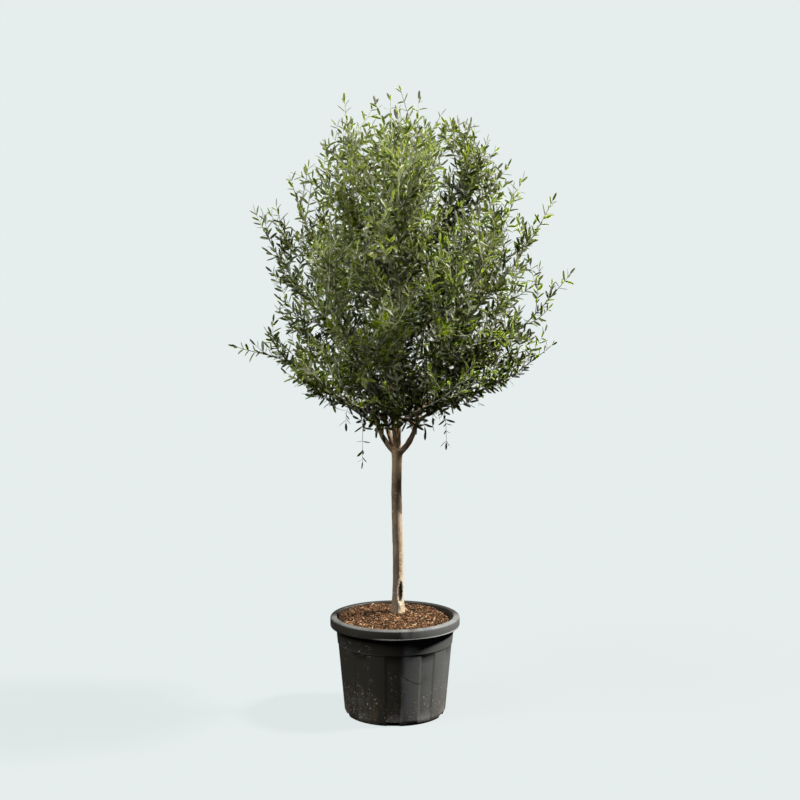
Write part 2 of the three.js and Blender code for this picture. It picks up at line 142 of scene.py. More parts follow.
def addPiece(name, mesh, finishes, nodes=(), smooth=True):
    for finish in finishes:
        mesh.materials.append(finish)
    mesh.polygons.foreach_set("use_smooth", [smooth] * len(mesh.polygons))
    piece = bpy.data.objects.new(name, mesh)
    scene.collection.objects.link(piece)
    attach(piece, "root")
    if nodes:
        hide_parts(*nodes)
    print(name, len(mesh.polygons), "faces")
    return piece


def meshFrom(bm, name):
    bmesh.ops.recalc_face_normals(bm, faces=bm.faces)
    mesh = bpy.data.meshes.new(name)
    bm.to_mesh(mesh)
    bm.free()
    return mesh


# Runs an object's modifiers and returns the mesh that comes out.
def bakedMesh(source, name):
    bpy.context.view_layer.update()
    evaluated = source.evaluated_get(bpy.context.evaluated_depsgraph_get())
    mesh = bpy.data.meshes.new_from_object(evaluated)
    mesh.name = name
    bpy.data.objects.remove(source)
    mesh.materials.clear()
    return mesh


# An outline of radii and heights, turned about the upright axis from a bearing.
def turnedShape(outline, steps, bearing=0):
    bm = bmesh.new()
    points = [bm.verts.new(onBearing(bearing, radius, height)) for radius, height in outline]
    edges = [bm.edges.new(pair) for pair in zip(points, points[1:])]
    turn = {"cent": (0, 0, 0), "axis": up, "angle": 2 * math.pi, "use_merge": True}
    bmesh.ops.spin(bm, geom=points + edges, steps=steps, **turn)
    bmesh.ops.remove_doubles(bm, verts=bm.verts, dist=1e-5)
    return bm


# Round tubes along limbs, as one mesh. sides is even and at least four.
def tubesAlong(limbs, name, sides):
    curve = bpy.data.curves.new(name, "CURVE")
    curve.dimensions = "3D"
    curve.bevel_depth = 1
    curve.bevel_resolution = sides // 2 - 2
    curve.use_fill_caps = True
    for limb in limbs:
        spline = curve.splines.new("POLY")
        spline.points.add(limb.steps)
        shares = [i / limb.steps for i in range(limb.steps + 1)]
        spline.points.foreach_set("co", [x for s in shares for x in (*limb.pointOn(s), 1)])
        spline.points.foreach_set("radius", [limb.radiusOn(s) for s in shares])
    source = bpy.data.objects.new(name, curve)
    scene.collection.objects.link(source)
    return bakedMesh(source, name)


# Many copies of one small shape as one mesh. points holds every copy's corners, one row to a copy.
def joinedCopies(name, points, triangles, slots):
    copies, corners = points.shape[:2]
    faces = triangles[None] + (np.arange(copies) * corners)[:, None, None]
    mesh = bpy.data.meshes.new(name)
    mesh.vertices.add(copies * corners)
    mesh.vertices.foreach_set("co", points.astype(np.float32).ravel())
    mesh.loops.add(faces.size)
    mesh.loops.foreach_set("vertex_index", faces.astype(np.int32).ravel())
    mesh.polygons.add(faces.size // 3)
    mesh.polygons.foreach_set("loop_start", np.arange(0, faces.size, 3, dtype=np.int32))
    mesh.polygons.foreach_set("material_index", slots.astype(np.int32).ravel())
    mesh.update(calc_edges=True)
    return mesh


# The corners, triangles and face slots of a small bmesh, for joinedCopies.
def shapeArrays(bm):
    bmesh.ops.triangulate(bm, faces=bm.faces)
    bm.verts.index_update()
    corners = np.array([vertex.co for vertex in bm.verts])
    triangles = np.array([[vertex.index for vertex in face.verts] for face in bm.faces])
    slots = np.array([face.material_index for face in bm.faces])
    bm.free()
    return corners, triangles, slots


# ---- finishes


# A socket that can stand in sums, products and powers.
class Wire:
    def __init__(self, finish, socket):
        self.finish = finish
        self.socket = socket

    def join(self, operation, first, second):
        return self.finish.node("ShaderNodeMath", {"operation": operation}, {0: first, 1: second})

    def __add__(self, other):
        return self.join("ADD", self, other)

    def __radd__(self, other):
        return self.join("ADD", other, self)

    def __sub__(self, other):
        return self.join("SUBTRACT", self, other)

    def __rsub__(self, other):
        return self.join("SUBTRACT", other, self)

    def __mul__(self, other):
        return self.join("MULTIPLY", self, other)

    def __rmul__(self, other):
        return self.join("MULTIPLY", other, self)

    def __pow__(self, other):
        return self.join("POWER", self, other)


class Finish:
    def __init__(self, name, colour, roughness, **extra):
        self.material = bpy.data.materials.new(name)
        self.material.use_nodes = True
        self.tree = self.material.node_tree
        self.shader = self.tree.nodes["Principled BSDF"]
        self.set("Base Color", (*colour, 1))
        self.set("Roughness", roughness)
        for socket, value in extra.items():
            self.set(socket, value)

    def set(self, socket, value):
        self.feed(self.shader.inputs[socket], value)

    def feed(self, socket, value):
        if isinstance(value, Wire):
            self.tree.links.new(value.socket, socket)
        else:
            socket.default_value = value

    # Any node: its settings first, then the values or wires of its sockets.
    def node(self, kind, settings, sockets, output=0):
        made = self.tree.nodes.new(kind)
        for setting, value in settings.items():
            setattr(made, setting, value)
        for socket, value in sockets.items():
            self.feed(made.inputs[socket], value)
        return Wire(self, made.outputs[output])

    # Where a point of the piece is, stretched by scale and counted from middle.
    def place(self, scale=(1, 1, 1), middle=(0, 0, 0), turn=0):
        spot = self.node("ShaderNodeTexCoord", {}, {}, output="Object")
        settings = {"vector_type": "TEXTURE"}
        stretch = tuple(1 / s for s in scale)
        return self.node(
            "ShaderNodeMapping", settings,
            {"Vector": spot, "Location": middle, "Rotation": (0, 0, turn), "Scale": stretch},
        )

    def grain(self, scale, detail=3.0, roughness=0.55, place=None):
        sockets = {"Scale": scale, "Detail": detail, "Roughness": roughness}
        sockets["Vector"] = place or self.place()
        return self.node("ShaderNodeTexNoise", {}, sockets)

    # 0 below low and 1 above high, with a soft step between.
    def between(self, value, low, high):
        settings = {"interpolation_type": "SMOOTHSTEP"}
        sockets = {"Value": value, "From Min": low, "From Max": high}
        return self.node("ShaderNodeMapRange", settings, sockets)

    def blend(self, share, first, second):
        first, second = (c if isinstance(c, Wire) else (*c, 1) for c in (first, second))
        settings = {"data_type": "RGBA"}
        return self.node("ShaderNodeMix", settings, {0: share, 6: first, 7: second}, output=2)

    def relief(self, height, depth, strength=1.0):
        self.set("Normal", self.node(
            "ShaderNodeBump", {}, {"Height": height, "Distance": depth, "Strength": strength},
        ))


def splitPlace(finish):
    place = finish.place()
    return [finish.node("ShaderNodeSeparateXYZ", {}, {0: place}, output=i) for i in range(3)]


# ---- pot

pot = {
    "lipHeight": 0.040,
    "groundRadius": 0.194,  # what the wall's slope would give at the ground
    "footRadius": 0.187,
    "slope": 0.092,  # radius gained for each metre of height
    "wall": 0.004,
    "floor": 0.022,
    "innerBend": 0.2,  # height of the one corner in the wall's inner face
    "bandFoot": 0.277,
    "bandStep": 0.0025,
    "panels": 20,
    "firstPanel": 8,  # degrees round the pot
    "stepsPerPanel": 14,
    "fluteFoot": 0.018,
    "fluteTop": 0.268,
    "fluteDepth": 0.0026,
    "fluteSide": 0.9,  # how much of a step its side takes
    "footFade": 0.005,
    "topFade": 0.004,
    "notches": 5,
    "firstNotch": 268,
    "notchSize": (0.018, 0.048, 0.030),
}
scratch = {"start": (0.031, 0.197), "end": (0.107, 0.161), "width": 0.0026}  # x and height
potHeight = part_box("pot")[1].z
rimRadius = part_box("pot")[1].x


def wallRadius(height):
    return pot["groundRadius"] + pot["slope"] * height


# A point of the wall's outer face, moved out by a little.
def onWall(height, out=0.0):
    return wallRadius(height) + out, height


# Points on a rounded edge, from one angle to another, in degrees.
def roundEdge(radius, height, size, start, end, steps=5):
    angles = [math.radians(mix(start, end, i / steps)) for i in range(steps + 1)]
    return [(radius + size * math.cos(a), height + size * math.sin(a)) for a in angles]


def potOutline():
    lipFoot = potHeight - pot["lipHeight"]
    innerTop = wallRadius(potHeight) - pot["wall"]
    bandTop = wallRadius(lipFoot) + pot["bandStep"]
    foot, top, band = pot["fluteFoot"], pot["fluteTop"], pot["bandFoot"]
    start = foot + pot["footFade"]
    outline = [(0, 0), (pot["footRadius"] - 0.004, 0)]
    outline += roundEdge(pot["footRadius"] - 0.002, 0.004, 0.004, -90, -10, 3)
    outline += [onWall(foot), onWall(start)]
    outline += [onWall(mix(start, top, i / 8)) for i in range(1, 9)]
    outline += [onWall(band - 0.005), onWall(band - 0.001, 0.0004)]
    bandEdge = wallRadius(band) + pot["bandStep"] - 0.0015
    outline += roundEdge(bandEdge, band + 0.0015, 0.0015, -80, 0, 3)
    outline += [(bandTop, lipFoot - 0.001)]
    outline += roundEdge(bandTop + 0.002, lipFoot - 0.001, 0.002, 180, 90, 2)
    outline += roundEdge(rimRadius - 0.005, lipFoot + 0.006, 0.005, -90, 0, 4)
    outline += roundEdge(rimRadius - 0.009, potHeight - 0.009, 0.009, 0, 90, 6)
    outline += roundEdge(innerTop + 0.005, potHeight - 0.005, 0.005, 90, 180, 4)
    outline += [onWall(pot["innerBend"], -pot["wall"]), onWall(pot["floor"], -pot["wall"])]
    return outline + [(0, pot["floor"])]


# The wall is drawn in at every second panel.
def flute(point):
    bearing = math.degrees(math.atan2(point.y, point.x)) - pot["firstPanel"]
    share = bearing % 360 / 360 * pot["panels"]
    across = share % 1
    edge = pot["fluteSide"] / pot["stepsPerPanel"]
    drawn = 0 if int(share) % 2 else smoothStep(min(across, 1 - across), 0, edge)
    ends = smoothStep(point.z, pot["fluteFoot"], pot["fluteFoot"] + pot["footFade"])
    ends *= 1 - smoothStep(point.z, pot["fluteTop"], pot["fluteTop"] + pot["topFade"])
    radius = math.hypot(point.x, point.y)
    if radius < wallRadius(point.z) - 0.001:
        return
    scale = 1 - pot["fluteDepth"] * drawn * ends / radius
    point.x *= scale
    point.y *= scale


def notchCutter():
    bm = bmesh.new()
    depth, width, height = pot["notchSize"]
    for i in range(pot["notches"]):
        bearing = pot["firstNotch"] + i * 360 / pot["notches"]
        made = bmesh.ops.create_cube(bm, size=1)["verts"]
        bmesh.ops.scale(bm, vec=(depth, width, height), verts=made)
        bmesh.ops.rotate(bm, matrix=Matrix.Rotation(math.radians(bearing), 3, "Z"), verts=made)
        place = onBearing(bearing, pot["groundRadius"] - depth / 4, 0)
        bmesh.ops.translate(bm, vec=place, verts=made)
    cutter = bpy.data.objects.new("notchCutter", meshFrom(bm, "notchCutter"))
    scene.collection.objects.link(cutter)
    return cutter


def potMesh():
    bm = turnedShape(potOutline(), pot["panels"] * pot["stepsPerPanel"], pot["firstPanel"])
    for vertex in bm.verts:
        flute(vertex.co)
    shell = bpy.data.objects.new("potShell", meshFrom(bm, "potShell"))
    scene.collection.objects.link(shell)
    cutter = notchCutter()
    cut = shell.modifiers.new("notches", "BOOLEAN")
    cut.operation = "DIFFERENCE"
    cut.solver = "MANIFOLD"
    cut.object = cutter
    mesh = bakedMesh(shell, "pot")
    bpy.data.objects.remove(cutter)
    return mesh


# 1 in a band between two heights, with soft edges.
def bandAt(finish, z, low, high, soft=0.0015):
    return finish.between(z, low - soft, low + soft) - finish.between(z, high - soft, high + soft)


# A thin curved scratch across the front of the wall.
def scratchMask(finish, x, y, z):
    start, end = scratch["start"], scratch["end"]
    along = (x - start[0]) * (1 / (end[0] - start[0]))
    rest = 1 - along
    off = z - end[1] - rest * rest * (start[1] - end[1])
    line = 1 - finish.between(off * off, (scratch["width"] * 0.3) ** 2, scratch["width"] ** 2)
    front = 1 - finish.between(y, -0.01, 0)
    return line * finish.between(along, 0, 0.04) * (1 - finish.between(along, 0.8, 1)) * front


potTones = {
    "plastic": (0.017, 0.0145, 0.011),
    # grey dust, which also stands for painted sunlight on the +X side
    "dustyAndSunlit": (0.086, 0.090, 0.092),
    "earth": (0.06, 0.04, 0.024),
    # paler rubbed plastic, which also stands for painted highlights
    "wornAndHighlit": (0.15, 0.155, 0.15),
    # painted highlight under the lip
    "lipHighlight": (0.45, 0.455, 0.43),
    "speck": (0.3, 0.29, 0.27),
    "scratch": (0.008, 0.008, 0.008),
}
# Between these radii, taken back down the wall's slope to the ground, its outer face begins.
potSkin = (0.1902, 0.1912)


def potFinish():
    finish = Finish("potPlastic", potTones["plastic"], 0.5, **{"Specular IOR Level": 0.22})
    x, y, z = splitPlace(finish)
    cloud = finish.grain(9, 4, 0.6)
    streak = finish.grain(5, 4, 0.65, finish.place((9, 9, 1)))
    speck = finish.grain(150, 2, 0.6)
    low = 1 - finish.between(z, 0.02, 0.17)
    lipFoot = potHeight - pot["lipHeight"]
    lip = finish.between(z, lipFoot - 0.001, lipFoot)
    # The +X side, where the key sun falls: what it adds to the dust and the rim below is painted
    # sunlight.
    side = finish.between(x, 0.015 - lip * 0.06, 0.05 + lip * 0.09)
    front = 1 - finish.between(y, -0.04, 0.06)
    outside = finish.between((x * x + y * y) ** 0.5 - z * pot["slope"], *potSkin)
    # Dust mottling, heavier low down, with painted sunlight added on the +X side; it fades off
    # towards the back, which is painted shade there, and keeps off the inner face.
    dustAndSunlit = finish.between(cloud * 0.5 + streak * 0.25 + low * 0.12 + side * 0.36, 0.42, 0.72)
    dustAndSunlit = dustAndSunlit * outside * (front * 0.85 + 0.15)
    spots = finish.between(speck, 0.63, 0.7) * finish.between(cloud + low * 0.25, 0.5, 0.65)
    # Rubbed paler edges on the rim's top at the front, also a painted highlight, stronger on the
    # sunlit +X side; the pale line at the band's step is a painted highlight.
    edges = bandAt(finish, z, potHeight - 0.005, 1) * front * (side * 0.4 + 0.6)
    edges = edges + bandAt(finish, z, pot["bandFoot"] - 0.001, pot["bandFoot"] + 0.0015)
    earth = low * finish.between(streak, 0.4, 0.7)
    # Painted highlight: a pale line along the lip's foot, on the front and the +X side.
    lipHighlight = bandAt(finish, z, lipFoot + 0.001, lipFoot + 0.008) * front
    lipHighlight = lipHighlight * finish.between(x, -0.1, 0.0)
    layers = (
        (dustAndSunlit * 0.75, "dustyAndSunlit"),
        (earth * 0.5, "earth"),
        (edges * finish.between(cloud, 0.25, 0.6) * 0.7, "wornAndHighlit"),
        (lipHighlight * finish.between(cloud, 0.2, 0.5) * 0.75, "lipHighlight"),
        (spots * 0.8, "speck"),
        (scratchMask(finish, x, y, z) * 0.85, "scratch"),
    )
    colour = potTones["plastic"]
    for share, tone in layers:
        colour = finish.blend(share, colour, potTones[tone])
    finish.set("Base Color", colour)
    finish.set("Roughness", 0.52 + dustAndSunlit * 0.25 + spots * 0.2)
    finish.relief(finish.grain(60, 3, 0.6) * 0.5 + spots * 0.3, 0.0006, 0.5)
    return finish.material


addPiece("pot_dressed", potMesh(), [potFinish()], ["pot"])

# ---- soil

soil = {
    "edgeHeight": 0.358,
    "moundHeight": 0.378,
    "flatShare": 0.2,
    "wallGap": 0.001,
    "rings": 56,
    "steps": 200,
    "foot": 0.0225,
    "bend": 0.2,
    "relief": 0.0064,
    "rise": 0.015,  # how much higher it lies at one side
    "riseBearing": 112,
    "margin": 0.008,  # loose bits keep this far from the wall
}
soilGloss = {"Specular IOR Level": 0.1}
chip = {
    "finish": "barkChip",
    "roughness": 0.85,
    "count": 240,
    "sizes": [(0.006, 0.026), (0.003, 0.008), (0.001, 0.004)],
    "sink": 0.1,  # share of its height that lies in the soil
    "seed": 71,
    "tones": [(0.20, 0.125, 0.07), (0.12, 0.05, 0.026), (0.30, 0.21, 0.13), (0.03, 0.013, 0.006)],
}
crumb = {
    "finish": "crumb",
    "roughness": 0.95,
    "count": 2600,
    "sizes": [(0.003, 0.014), (0.003, 0.012), (0.003, 0.010)],
    "sink": 0.15,
    "seed": 72,
    "tones": [
        (0.088, 0.043, 0.019), (0.056, 0.025, 0.011), (0.008, 0.004, 0.002), (0.145, 0.08, 0.038),
    ],
}
trunkFoot = Vector((0.010, 0.048, soil["moundHeight"] + 0.0003))


def soilRadius(height):
    return wallRadius(height) - pot["wall"] - soil["wallGap"]


# The height of the soil's surface: heaped round the trunk, with lumps of several sizes.
def soilHeight(x, y):
    edge = soilRadius(soil["edgeHeight"])
    share = min(math.hypot(x - trunkFoot.x * 0.5, y - trunkFoot.y * 0.5) / edge, 1)
    heap = soil["moundHeight"] - soil["edgeHeight"]
    heap *= smoothStep(1 - share, 0, 1 - soil["flatShare"])
    spot = Vector((x, y, 0))
    lumps = noise.noise(spot * 22) + 0.6 * noise.noise(spot * 55) + 0.45 * noise.noise(spot * 130)
    nearTrunk = smoothStep((spot - Vector((trunkFoot.x, trunkFoot.y, 0))).length, 0.02, 0.06)
    side = spot.dot(onBearing(soil["riseBearing"], 1, 0)) / edge
    rise = soil["rise"] * smoothStep(side, -0.2, 0.9) * nearTrunk
    relief = soil["relief"] * lumps * (0.35 + 0.65 * nearTrunk)
    return soil["edgeHeight"] + heap * (1 - 0.3 * side) + rise + relief


def soilMesh():
    edge = soilRadius(soil["edgeHeight"])
    outline = [(edge * i / soil["rings"], soil["edgeHeight"]) for i in range(soil["rings"] + 1)]
    outline += [(soilRadius(height), height) for height in (soil["bend"], soil["foot"])]
    bm = turnedShape(outline + [(0, soil["foot"])], soil["steps"])
    for vertex in bm.verts:
        if vertex.co.z > 0.3:
            vertex.co.z = soilHeight(vertex.co.x, vertex.co.y)
    return meshFrom(bm, "soil")


def soilFinish():
    finish = Finish("compost", (0.15, 0.075, 0.04), 0.95, **soilGloss)
    cloud = finish.grain(14, 4, 0.6)
    fine = finish.grain(120, 4, 0.7)
    flake = finish.grain(260, 2, 0.5)
    damp, dry = (0.018, 0.008, 0.003), (0.066, 0.031, 0.012)
    colour = finish.blend(finish.between(cloud, 0.35, 0.65), damp, dry)
    colour = finish.blend(finish.between(fine, 0.43, 0.56), colour, (0.007, 0.004, 0.002))
    colour = finish.blend(finish.between(flake, 0.68, 0.74), colour, (0.26, 0.16, 0.09))
    finish.set("Base Color", colour)
    finish.relief(fine + 0.5 * flake, 0.004, 0.9)
    return finish.material


# Loose bits on the soil: each copy of a shape is turned, sized and laid on the surface.
def scattered(name, bm, bits):
    corners, triangles, _ = shapeArrays(bm)
    draw = seededDraw(bits["seed"])
    points = []
    slots = []
    for _ in range(bits["count"]):
        angle = draw(0, 2 * math.pi)
        radius = math.sqrt(draw(0, 1)) * (soilRadius(soil["edgeHeight"]) - soil["margin"])
        x, y = radius * math.cos(angle), radius * math.sin(angle)
        size = [draw(*pair) for pair in bits["sizes"]]
        turn = Matrix.Rotation(draw(0, 2 * math.pi), 3, "Z")
        turn = turn @ Matrix.Rotation(draw(-0.5, 0.5), 3, "X")
        turn = turn @ Matrix.Rotation(draw(-0.4, 0.4), 3, "Y") @ Matrix.Diagonal(size)
        spot = np.array((x, y, soilHeight(x, y) - bits["sink"] * size[2]))
        points.append(corners @ np.array(turn).T + spot)
        slots.append([int(draw(0, len(bits["tones"]) - 0.001))] * len(triangles))
    return joinedCopies(name, np.array(points), triangles, np.array(slots))


def chipShape():
    bm = bmesh.new()
    bmesh.ops.create_cube(bm, size=1)
    lengthwise = [e for e in bm.edges if abs(e.verts[0].co.x - e.verts[1].co.x) > 0.5]
    bmesh.ops.subdivide_edges(bm, edges=lengthwise, cuts=1)
    for vertex in bm.verts:
        if abs(vertex.co.x) > 0.4:
            vertex.co.y *= 0.55
            vertex.co.z += 0.2
    return bm


def crumbShape():
    bm = bmesh.new()
    bmesh.ops.create_icosphere(bm, subdivisions=1, radius=0.5)
    for i, vertex in enumerate(bm.verts):
        vertex.co *= seededDraw(i + 1)(0.75, 1.2)
    return bm


def addBits(name, bm, bits):
    finishes = [
        Finish(f"{bits['finish']}{i}", tone, bits["roughness"], **soilGloss).material
        for i, tone in enumerate(bits["tones"])
    ]
    addPiece(name, scattered(name, bm, bits), finishes, smooth=False)


def dressSoil():
    addPiece("soil_surface", soilMesh(), [soilFinish()], ["soil"])
    addBits("soil_chips", chipShape(), chip)
    addBits("soil_crumbs", crumbShape(), crumb)


dressSoil()

# ---- trunk and boughs

trunk = {
    "fork": Vector((0.009, 0.012, 1.022)),
    "sway": 0.0034,
    "footRadius": 0.0225,
    "forkRadius": 0.0188,
    "flare": 0.005,
    "flareHeight": 0.034,
    "lobes": 4,
    "lobeDepth": 0.5,
    "swell": 0.0035,
    "swellHeight": 0.034,
    "sides": 48,
    "steps": 90,
    "boughSwell": 1.08,
    "voxel": 0.0022,
}
scar = {
    "share": 0.131,  # how far up the trunk
    "bearing": 293,
    "length": 0.084,
    "width": 0.019,
    "depth": 0.005,
    "lip": 0.0022,
}

# The crown's outline: its half width falls away over and under its widest height by these powers.
crown = {
    "heart": Vector((0, 0, 1.085)),
    "middle": 0.032,  # how far towards +X its outline's upright middle line stands
    "halfWidth": 0.570,
    "widest": 1.640,
    "top": (2.405, 1.8, 0.7),
    "bottom": (1.150, 2.2, 0.42),
    "seam": 0.0025,  # how far a mass's shoots keep from the next mass's space
}
bough = {"tipRadius": 0.0065, "forkDepth": 0.020, "turnHeight": 0.3, "clear": 0.005, "beads": 13}

# Each bough feeds one mass: its tip's bearing, reach and height, where the bough springs from,
# how far from the heart it enters its mass, how far it swings out first, and its foot's radius.
limbs = {
    "top_left": (190, 0.194, 2.361, None, 0, 0.190, 0.008, 0.012),
    "mid_left": (186, 0.537, 1.945, None, 0, 0.170, 0.082, 0.011),
    "mid_back_left": (125, 0.590, 1.880, None, 0, 0.165, 0.066, 0.0108),
    "high_right": (345, 0.612, 1.982, None, 0, 0.160, 0.088, 0.012),
    "high_back": (82, 0.430, 2.130, None, 0, 0.175, 0.062, 0.0108),
    "low_left": (181, 0.632, 1.424, "mid_left", 0.6, 0.112, 0.012, 0.0068),
    "high_left": (168, 0.427, 2.108, "mid_back_left", 0.68, 0.215, 0.012, 0.0066),
    "low_front_left": (236, 0.590, 1.400, "mid_left", 0.52, 0.125, 0.012, 0.0066),
    "mid_front_left": (240, 0.590, 1.800, "top_left", 0.6, 0.170, 0.012, 0.007),
    "high_front": (272, 0.430, 2.120, "top_left", 0.7, 0.215, 0.012, 0.0066),
    "top_front": (265, 0.182, 2.352, "top_left", 0.8, 0.250, 0.012, 0.0062),
    "low_front_right": (298, 0.600, 1.395, "high_right", 0.6, 0.130, 0.012, 0.0066),
    "low_right": (351, 0.626, 1.453, "high_right", 0.7, 0.140, 0.014, 0.0072),
    "mid_right": (10, 0.709, 1.716, "high_right", 0.84, 0.180, 0.012, 0.0068),
    "mid_front_right": (308, 0.590, 1.870, "high_right", 0.74, 0.185, 0.012, 0.0066),
    "top_right": (9, 0.315, 2.286, "top_left", 0.55, 0.225, 0.012, 0.0062),
    "low_back_left": (120, 0.600, 1.410, "mid_back_left", 0.58, 0.135, 0.012, 0.0066),
    "low_back_right": (58, 0.600, 1.430, "high_back", 0.52, 0.135, 0.012, 0.0066),
    "mid_back_right": (30, 0.600, 2.100, "high_back", 0.66, 0.200, 0.012, 0.0068),
    "top_back": (52, 0.152, 2.392, "top_left", 0.66, 0.250, 0.012, 0.0062),
}
trunkHeight = trunk["fork"].z - trunkFoot.z


def trunkMiddle(share):
    middle = trunkFoot.lerp(trunk["fork"], share)
    middle.x += trunk["sway"] * math.sin(2 * math.pi * share)
    return middle


def trunkRadius(share, angle):
    height = share * trunkHeight
    taper = mix(trunk["footRadius"], trunk["forkRadius"], share)
    flare = trunk["flare"] * math.exp(-height / trunk["flareHeight"])
    swell = trunk["swell"] * math.exp(-(((trunkHeight - height) / trunk["swellHeight"]) ** 2))
    return taper + flare * (1 + trunk["lobeDepth"] * math.cos(trunk["lobes"] * angle)) + swell


def trunkTube():
    bm = bmesh.new()
    sides = {"cap_ends": True, "segments": trunk["sides"], "radius1": 1, "radius2": 1, "depth": 1}
    bmesh.ops.create_cone(bm, **sides)
    upright = [edge for edge in bm.edges if abs(edge.verts[0].co.z - edge.verts[1].co.z) > 0.5]
    bmesh.ops.subdivide_edges(bm, edges=upright, cuts=trunk["steps"] - 1)
    for vertex in bm.verts:
        share = vertex.co.z + 0.5
        radius = trunkRadius(share, math.atan2(vertex.co.y, vertex.co.x))
        vertex.co = trunkMiddle(share) + Vector((vertex.co.x * radius, vertex.co.y * radius, 0))
    return bm


# Works out each bough's line: out of the fork or its parent, round its elbow, and up to its mass.
def layOutMasses():
    laid = {}
    for index, (name, row) in enumerate(limbs.items()):
        bearing, reach, height, parent, share, entry, elbow, foot = row
        tip = onBearing(bearing, reach, height)
        axis = (tip - crown["heart"]).normalized()
        if parent:
            start = laid[parent]["bough"].pointOn(share)
        else:
            start = trunk["fork"] - up * bough["forkDepth"]
        end = crown["heart"] + axis * entry
        turn = start + onBearing(bearing, elbow, 0)
        turn.z = mix(start.z, end.z, bough["turnHeight"])
        limb = Limb([start, turn, end], foot, bough["tipRadius"], 12)
        seed = (index + 1) * 1000
        laid[name] = {"name": name, "tip": tip, "axis": axis, "bough": limb, "seed": seed}
    return laid


masses = layOutMasses()


def scarMiddle():
    radius = trunkRadius(scar["share"], 0)
    return trunkMiddle(scar["share"]) + onBearing(scar["bearing"], radius, 0)


# How far the bark stands in at the scar, or out at the lip round it.
def scarShape(point):
    offset = point - scarMiddle()
    across = offset.dot(onBearing(scar["bearing"] + 90, 1, 0)) / (scar["width"] / 2)
    along = offset.z / (scar["length"] / 2)
    outward = offset.dot(onBearing(scar["bearing"], 1, 0))
    if outward < -0.02:
        return 0
    spread = math.hypot(across, along)
    hollow = scar["depth"] * max(0, 1 - spread * spread)
    lip = scar["lip"] * math.exp(-(((spread - 1.25) / 0.3) ** 2))
    return lip - hollow


# How far bark stands out or in: long plates, cracks between them, and knots.
def barkRelief(point):
    lengthwise = Vector((point.x, point.y, point.z * 0.32))
    plates = noise.noise(lengthwise * 95)
    cracks = abs(noise.noise(lengthwise * 170 + Vector((5, 5, 5))))
    knots = max(0, noise.noise(point * 24) - 0.35)
    return 0.00065 * plates - 0.0009 * max(0, 0.12 - cracks) / 0.12 + 0.004 * knots


# Bark thickens a bough towards its foot.
def swollen(limb):
    foot, tip = limb.radii
    return Limb(limb.controls, foot * trunk["boughSwell"], tip, limb.steps)


def barkMesh():
    bm = trunkTube()
    boughTubes = tubesAlong([swollen(mass["bough"]) for mass in masses.values()], "boughs", 16)
    bm.from_mesh(boughTubes)
    source = bpy.data.objects.new("barkSource", meshFrom(bm, "barkSource"))
    scene.collection.objects.link(source)
    remesh = source.modifiers.new("oneSkin", "REMESH")
    remesh.mode = "VOXEL"
    remesh.voxel_size = trunk["voxel"]
    smooth = source.modifiers.new("soften", "SMOOTH")
    smooth.factor = 0.5
    smooth.iterations = 4
    mesh = bakedMesh(source, "bark")
    bm = bmesh.new()
    bm.from_mesh(mesh)
    bm.normal_update()
    moves = [barkRelief(v.co) + scarShape(v.co) for v in bm.verts]
    for vertex, move in zip(bm.verts, moves):
        vertex.co += vertex.normal * move
    return meshFrom(bm, "bark")


barkTones = {
    "light": (0.37, 0.275, 0.165),
    "dark": (0.15, 0.097, 0.052),
    "young": (0.36, 0.37, 0.27),
    "sunlit": (0.50, 0.41, 0.30),
    # painted shade
    "shaded": (0.056, 0.037, 0.022),
    "upper": (0.66, 0.45, 0.265),
    "crack": (0.075, 0.045, 0.028),
    "fleck": (0.55, 0.48, 0.38),
    "scarLip": (0.6, 0.52, 0.4),
    "scarHollow": (0.012, 0.007, 0.004),
}
# Painted sunlight: a paler strip winds up the trunk's +X side, where the key sun falls, as high as
# its top.
strip = {
    "foot": 0.378,
    "winding": 9.76,  # radians for each metre of height
    "sway": 0.0034,
    "edge": (0.0078, 0.0088),
    "top": (0.79, 0.8),
}


def stripMask(finish, x, z, cloud):
    angle = (z - strip["foot"]) * strip["winding"]
    wave = finish.node("ShaderNodeMath", {"operation": "SINE"}, {0: angle})
    mask = finish.between(x - wave * strip["sway"] - cloud * 0.008, *strip["edge"])
    return mask * (1 - finish.between(z + x, *strip["top"]))


